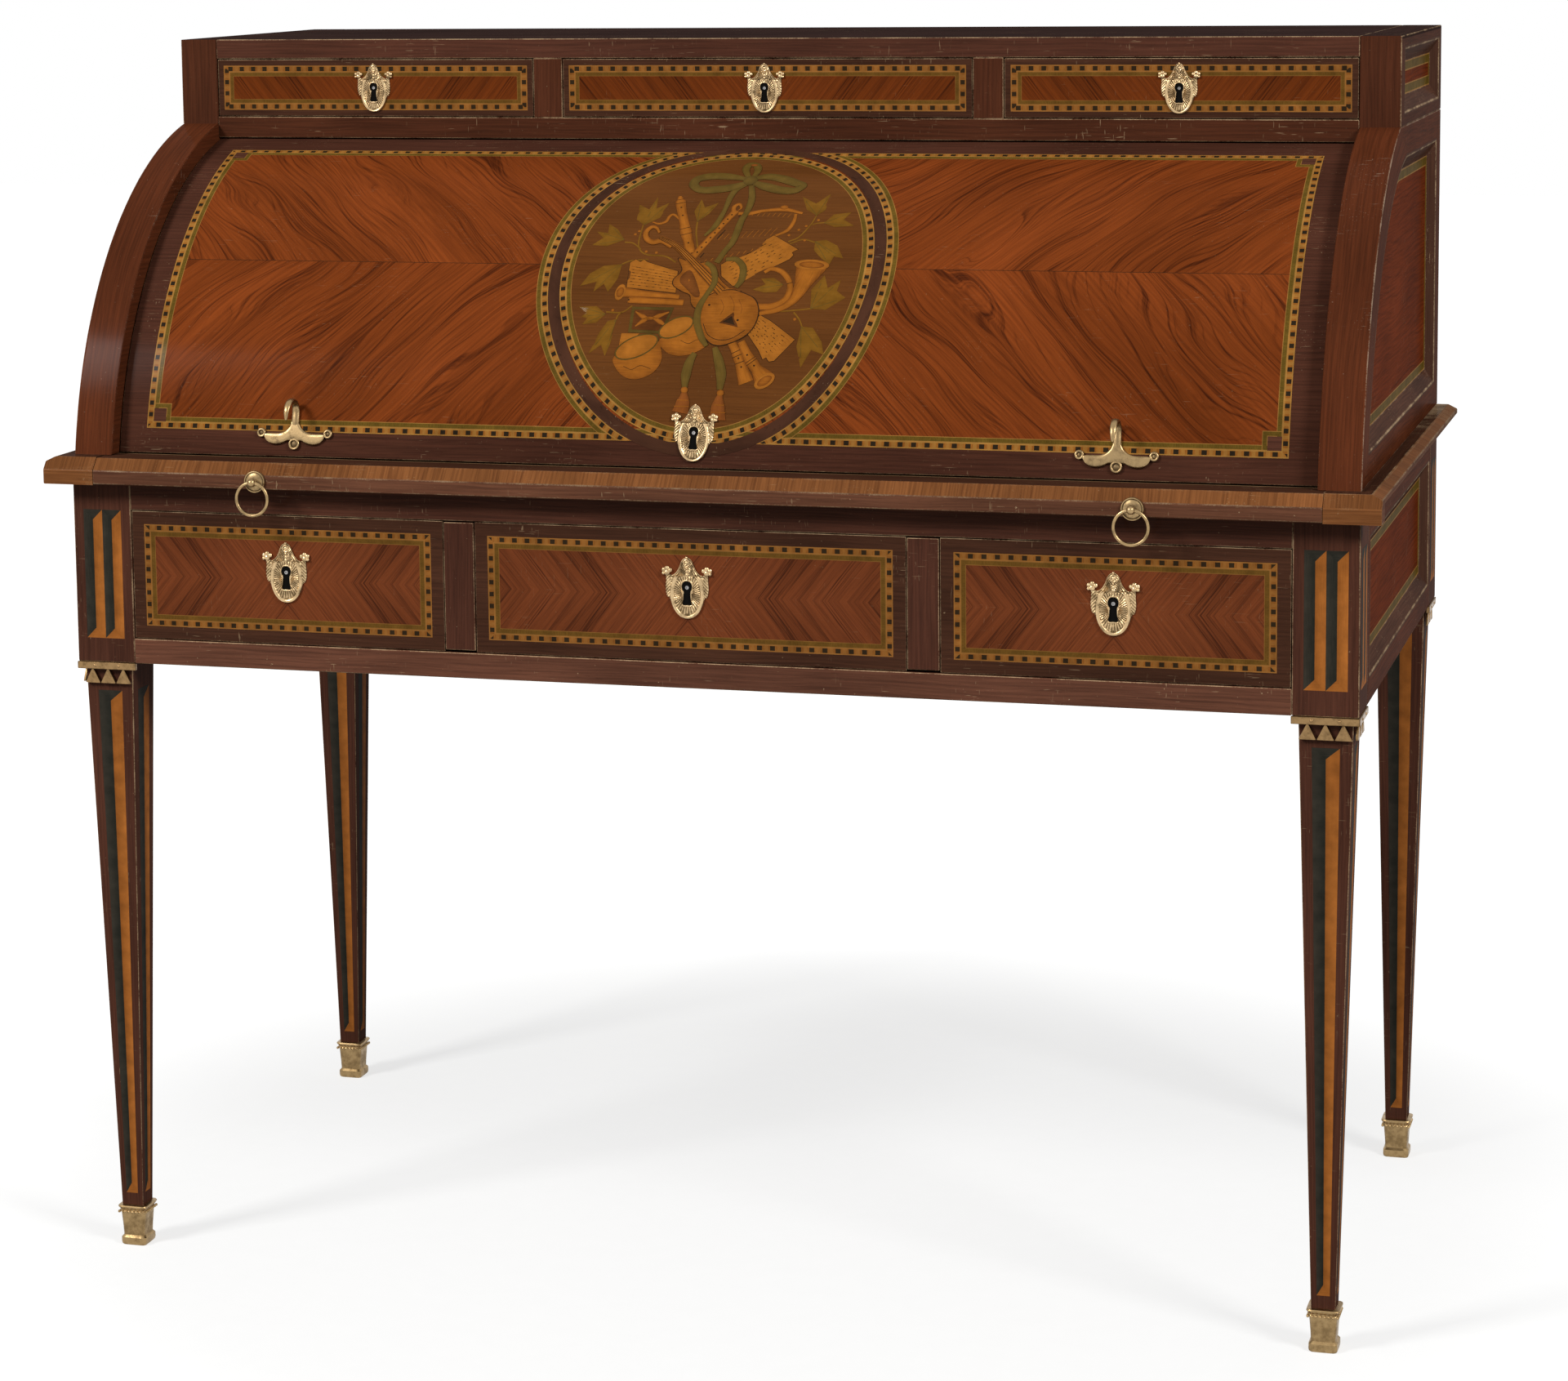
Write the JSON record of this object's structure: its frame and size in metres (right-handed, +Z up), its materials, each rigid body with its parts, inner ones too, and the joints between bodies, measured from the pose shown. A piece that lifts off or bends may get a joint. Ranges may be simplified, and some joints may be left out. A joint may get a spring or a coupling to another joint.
{
  "type": "cylinder desk",
  "caption": "Writing desk on tapered legs with a curved roll-back cylinder, pull-out writing slide, frieze drawers and a raised drawer case on top, in inlaid dark wood with brass mounts.",
  "frame": {"origin": "centre of the desk's footprint on the floor", "axes": "+X to the desk's right as its user sees it, +Y to its back, +Z up"},
  "size_m": [1.24, 0.652, 1.148],
  "materials": {
    "amaranth": "dark purple-brown veneer, French polished, worn pale at the edges",
    "kingwood": "red-brown striped veneer in quartered matches, French polished",
    "oak": "plain oiled timber",
    "brass": "cast and chased, aged satin",
    "leather": "brown writing leather with a plain tooled border"
  },
  "bodies": {
    "root": {"leg_front_left": "amaranth", "leg_front_right": "amaranth", "leg_back_left": "amaranth", "leg_back_right": "amaranth", "sabots": "brass", "leg_collars": "brass", "apron_side_left": "amaranth", "apron_side_right": "amaranth", "apron_back": "oak", "bottom_rail": "amaranth", "top_rail": "amaranth", "drawer_stiles": "amaranth", "dust_board": "oak", "drawer_guides": "oak", "sub_top": "oak", "moulding_left": "kingwood", "moulding_right": "kingwood", "cheek_left": "amaranth", "cheek_right": "amaranth", "gradin_rail": "amaranth", "gradin_floor": "oak", "gradin_sides": "amaranth", "gradin_dividers": "amaranth", "top_board": "amaranth", "upper_back": "oak", "pigeonhole_nest": "kingwood"},
    "cylinder": {"cylinder_shell": "kingwood", "cylinder_lock": "brass", "hook_handles": "brass"},
    "cylinder_bolt": {"cylinder_bolt": "brass"},
    "slide": {"writing_slide": "oak", "writing_leather": "leather", "slide_nosing": "kingwood", "ring_rosettes": "brass"},
    "ring_left": {"ring_left": "brass"},
    "ring_right": {"ring_right": "brass"},
    "lower_left_drawer": {"lower_left_drawer_front": "kingwood", "lower_left_drawer_box": "oak", "lower_left_drawer_lock": "brass"},
    "lower_left_drawer_bolt": {"lower_left_drawer_bolt": "brass"},
    "lower_centre_drawer": {"lower_centre_drawer_front": "kingwood", "lower_centre_drawer_box": "oak", "lower_centre_drawer_lock": "brass"},
    "lower_centre_drawer_bolt": {"lower_centre_drawer_bolt": "brass"},
    "lower_right_drawer": {"lower_right_drawer_front": "kingwood", "lower_right_drawer_box": "oak", "lower_right_drawer_lock": "brass"},
    "lower_right_drawer_bolt": {"lower_right_drawer_bolt": "brass"},
    "gradin_left_drawer": {"gradin_left_drawer_front": "kingwood", "gradin_left_drawer_box": "oak", "gradin_left_drawer_lock": "brass"},
    "gradin_left_drawer_bolt": {"gradin_left_drawer_bolt": "brass"},
    "gradin_centre_drawer": {"gradin_centre_drawer_front": "kingwood", "gradin_centre_drawer_box": "oak", "gradin_centre_drawer_lock": "brass"},
    "gradin_centre_drawer_bolt": {"gradin_centre_drawer_bolt": "brass"},
    "gradin_right_drawer": {"gradin_right_drawer_front": "kingwood", "gradin_right_drawer_box": "oak", "gradin_right_drawer_lock": "brass"},
    "gradin_right_drawer_bolt": {"gradin_right_drawer_bolt": "brass"}
  },
  "joints": [
    {"name": "cylinder_roll", "type": "hinge", "parent": "root", "child": "cylinder", "pos_m": [0, 0.06879, 0.715], "axis": [-1, 0, 0], "range_deg": [0, 52]},
    {"name": "cylinder_bolt_throw", "type": "slide", "parent": "cylinder", "child": "cylinder_bolt", "axis": [0, -0.159, -0.9873], "range_m": [0, 0.01]},
    {"name": "slide_out", "type": "slide", "parent": "root", "child": "slide", "axis": [0, -1, 0], "range_m": [0, 0.24]},
    {"name": "ring_left_swing", "type": "hinge", "parent": "slide", "child": "ring_left", "pos_m": [-0.407, -0.322, 0.753], "axis": [-1, 0, 0], "range_deg": [0, 110]},
    {"name": "ring_right_swing", "type": "hinge", "parent": "slide", "child": "ring_right", "pos_m": [0.407, -0.322, 0.753], "axis": [-1, 0, 0], "range_deg": [0, 110]},
    {"name": "lower_left_drawer_pull", "type": "slide", "parent": "root", "child": "lower_left_drawer", "axis": [0, -1, 0], "range_m": [0, 0.33]},
    {"name": "lower_left_drawer_bolt_throw", "type": "slide", "parent": "lower_left_drawer", "child": "lower_left_drawer_bolt", "axis": [0, 0, 1], "range_m": [0, 0.007]},
    {"name": "lower_centre_drawer_pull", "type": "slide", "parent": "root", "child": "lower_centre_drawer", "axis": [0, -1, 0], "range_m": [0, 0.33]},
    {"name": "lower_centre_drawer_bolt_throw", "type": "slide", "parent": "lower_centre_drawer", "child": "lower_centre_drawer_bolt", "axis": [0, 0, 1], "range_m": [0, 0.007]},
    {"name": "lower_right_drawer_pull", "type": "slide", "parent": "root", "child": "lower_right_drawer", "axis": [0, -1, 0], "range_m": [0, 0.33]},
    {"name": "lower_right_drawer_bolt_throw", "type": "slide", "parent": "lower_right_drawer", "child": "lower_right_drawer_bolt", "axis": [0, 0, 1], "range_m": [0, 0.007]},
    {"name": "gradin_left_drawer_pull", "type": "slide", "parent": "root", "child": "gradin_left_drawer", "axis": [0, -1, 0], "range_m": [0, 0.2]},
    {"name": "gradin_left_drawer_bolt_throw", "type": "slide", "parent": "gradin_left_drawer", "child": "gradin_left_drawer_bolt", "axis": [0, 0, 1], "range_m": [0, 0.007]},
    {"name": "gradin_centre_drawer_pull", "type": "slide", "parent": "root", "child": "gradin_centre_drawer", "axis": [0, -1, 0], "range_m": [0, 0.2]},
    {"name": "gradin_centre_drawer_bolt_throw", "type": "slide", "parent": "gradin_centre_drawer", "child": "gradin_centre_drawer_bolt", "axis": [0, 0, 1], "range_m": [0, 0.007]},
    {"name": "gradin_right_drawer_pull", "type": "slide", "parent": "root", "child": "gradin_right_drawer", "axis": [0, -1, 0], "range_m": [0, 0.2]},
    {"name": "gradin_right_drawer_bolt_throw", "type": "slide", "parent": "gradin_right_drawer", "child": "gradin_right_drawer_bolt", "axis": [0, 0, 1], "range_m": [0, 0.007]}
  ]
}
